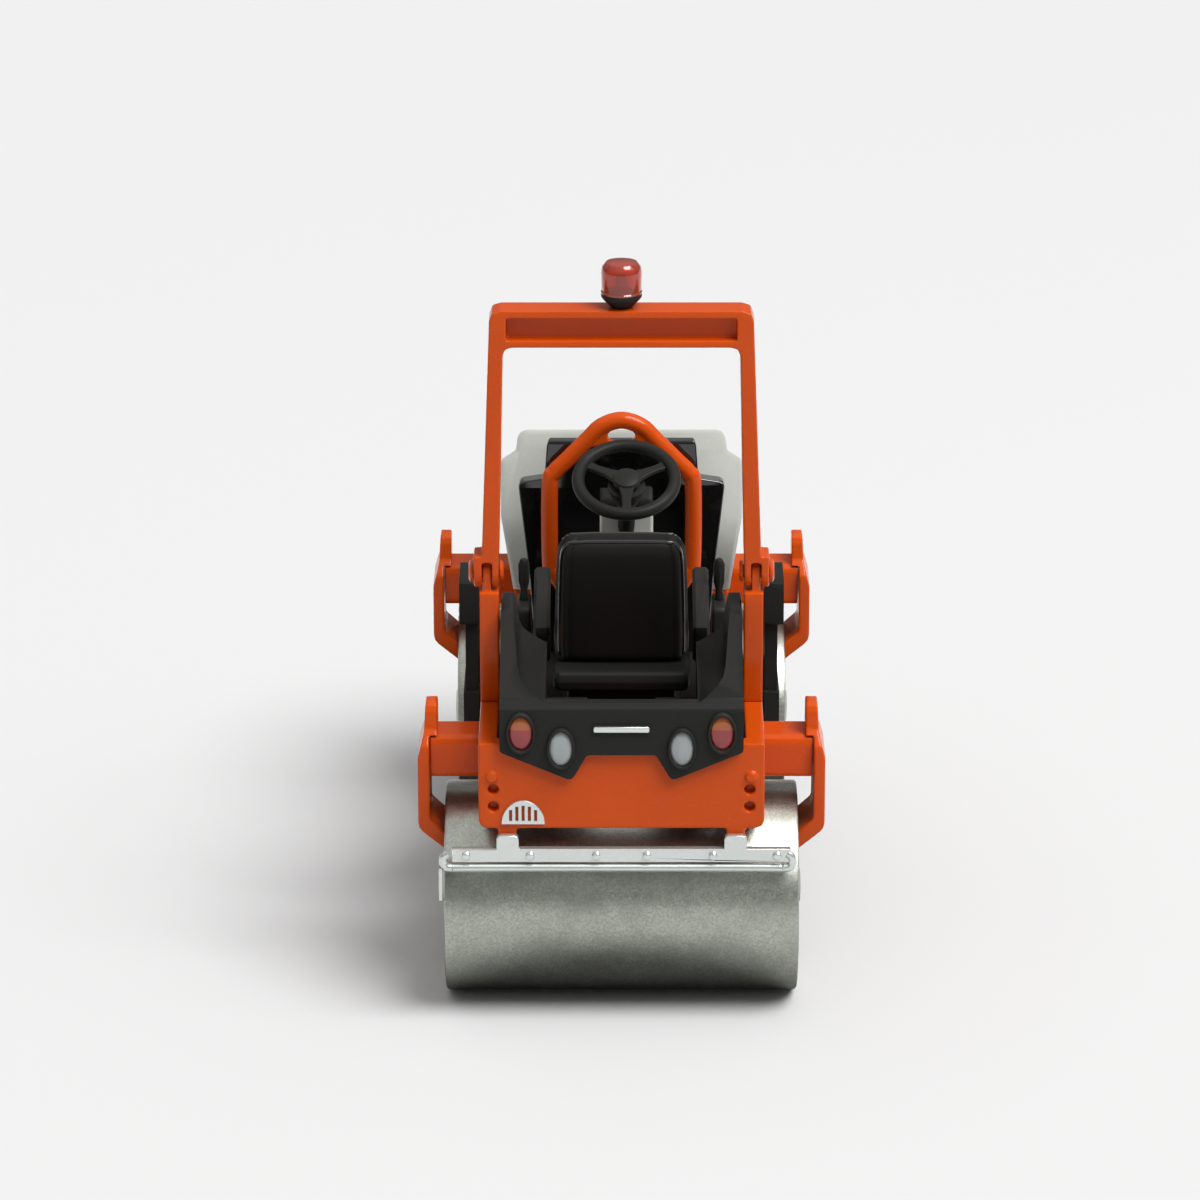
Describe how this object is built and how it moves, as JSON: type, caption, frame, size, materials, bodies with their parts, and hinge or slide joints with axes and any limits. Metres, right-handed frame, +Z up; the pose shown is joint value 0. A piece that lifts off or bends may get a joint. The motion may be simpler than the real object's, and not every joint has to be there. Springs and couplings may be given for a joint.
{
  "type": "toy road roller",
  "caption": "Toy articulated tandem road roller with turning drums, a steering joint, a folding roll-over hoop and a turning steering wheel.",
  "frame": {"origin": "bottom centre of the overall box, on the ground under the steer pin", "axes": "+Y forward towards the hood, +X to the machine's right, +Z up"},
  "size_m": [0.0276, 0.0494, 0.0513],
  "materials": {
    "orange_paint": "gloss",
    "drum_metal": "satin",
    "steel": "satin",
    "silver_paint": "satin",
    "dark_plastic": "matte",
    "black_plastic": "satin",
    "gloss_black": "gloss",
    "grey_plastic": "satin",
    "clear_lens": "gloss",
    "red_lens": "gloss",
    "amber_lens": "gloss"
  },
  "bodies": {
    "rear": {"rear_frame": "orange_paint", "rear_cross_beam": "orange_paint", "rear_arm_left": "orange_paint", "rear_arm_right": "orange_paint", "rear_axle": "steel", "rear_scraper_bar": "silver_paint", "rear_scraper_blade": "silver_paint", "rear_cover": "dark_plastic", "tail_bezel_left": "black_plastic", "tail_bezel_right": "black_plastic", "tail_lens_left": "red_lens", "tail_lens_right": "red_lens", "work_bezel_left": "black_plastic", "work_bezel_right": "black_plastic", "work_lens_left": "clear_lens", "work_lens_right": "clear_lens", "vent_badge": "silver_paint", "rops_foot_left": "orange_paint", "rops_foot_right": "orange_paint", "rops_pin_left": "orange_paint", "rops_pin_right": "orange_paint", "platform_floor": "dark_plastic", "side_guard_left": "dark_plastic", "side_guard_right": "dark_plastic", "seat_base": "dark_plastic", "seat_cushion": "black_plastic", "seat_back": "black_plastic", "armrest_left": "black_plastic", "armrest_right": "black_plastic", "control_console_left": "black_plastic", "control_console_right": "black_plastic", "joystick_left": "dark_plastic", "joystick_right": "dark_plastic", "steering_console": "grey_plastic", "steering_column": "black_plastic", "lifting_hoop": "orange_paint", "cowl": "gloss_black", "steer_pin": "steel"},
    "rear_roller": {"rear_drum": "drum_metal"},
    "rollbar": {"rops_hoop": "orange_paint", "beacon_base": "dark_plastic", "beacon_bulb": "amber_lens", "beacon_lens": "amber_lens"},
    "helm": {"steering_wheel": "black_plastic"},
    "centre_link": {"joint_link": "steel", "trunnion_nut": "steel"},
    "front": {"front_frame": "orange_paint", "front_cross_beam": "orange_paint", "front_arm_left": "orange_paint", "front_arm_right": "orange_paint", "front_axle": "steel", "front_scraper_bar": "silver_paint", "front_scraper_blade": "silver_paint", "hood": "grey_plastic", "front_grille": "black_plastic", "headlight_left": "clear_lens", "headlight_right": "clear_lens"},
    "front_roller": {"front_drum": "drum_metal"}
  },
  "joints": [
    {"name": "rear_drum_spin", "type": "hinge", "parent": "rear", "child": "rear_roller", "pos_m": [0, -0.017, 0.0072], "axis": [1, 0, 0], "continuous": true},
    {"name": "front_drum_spin", "type": "hinge", "parent": "front", "child": "front_roller", "pos_m": [0, 0.017, 0.0072], "axis": [1, 0, 0], "continuous": true},
    {"name": "steer", "type": "hinge", "parent": "rear", "child": "centre_link", "pos_m": [0, 0, 0.0089], "axis": [0, 0, 1], "range_deg": [-25, 25]},
    {"name": "oscillate", "type": "hinge", "parent": "centre_link", "child": "front", "pos_m": [0, 0.0078, 0.0089], "axis": [0, 1, 0], "range_deg": [-6, 6]},
    {"name": "rollbar_fold", "type": "hinge", "parent": "rear", "child": "rollbar", "pos_m": [0, -0.015, 0.0294], "axis": [1, 0, 0], "range_deg": [0, 90]},
    {"name": "wheel_turn", "type": "hinge", "parent": "rear", "child": "helm", "pos_m": [0.00035, 0.0005, 0.0306], "axis": [0, -0.4384, 0.8988], "continuous": true}
  ]
}
